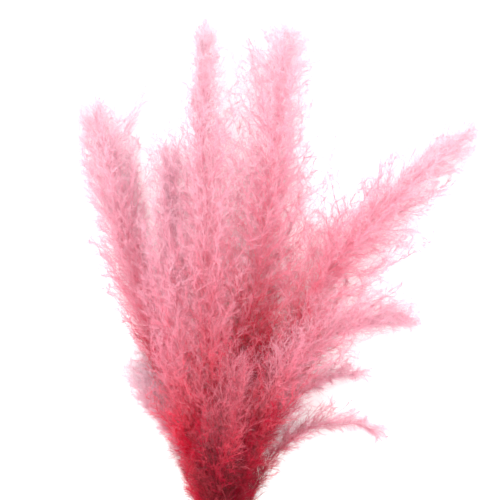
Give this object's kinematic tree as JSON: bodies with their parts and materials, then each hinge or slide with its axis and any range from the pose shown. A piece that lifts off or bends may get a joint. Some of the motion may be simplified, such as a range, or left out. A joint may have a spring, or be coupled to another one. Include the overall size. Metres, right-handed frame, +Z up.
{
  "type": "pampas grass bundle",
  "caption": "Bundle of dried, pink-dyed pampas grass plumes that fan out from a tied neck of bare cut stems, lying on its side for arranging or display.",
  "frame": {"origin": "the middle of the bundle's bounding box, on the surface it lies on", "axes": "+Y along the bundle from the cut stem ends to the plume tips; +X to the right seen from above with the plumes pointing away; +Z up from the surface"},
  "size_m": [0.5054, 0.9372, 0.1329],
  "materials": {
    "plume": "matte dyed grass hair, pale pink at the tips and deep rose at the core",
    "stem": "dry straw culm, faintly flushed with the pink dye, satin",
    "twine": "matte natural jute twine"
  },
  "bodies": {
    "root": {"stem_far_left": "stem", "plume_far_left": "plume", "stem_tall_right": "stem", "plume_tall_right": "plume", "stem_far_right": "stem", "plume_far_right": "plume", "stem_low_left": "stem", "plume_low_left": "plume", "stem_mid_left": "stem", "plume_mid_left": "plume", "stem_mid_right": "stem", "plume_mid_right": "plume", "stem_drooping": "stem", "plume_drooping": "plume", "stem_tall_left": "stem", "plume_tall_left": "plume", "stem_front": "stem", "plume_front": "plume", "stem_low_right": "stem", "plume_low_right": "plume", "twine": "twine"}
  },
  "joints": []
}
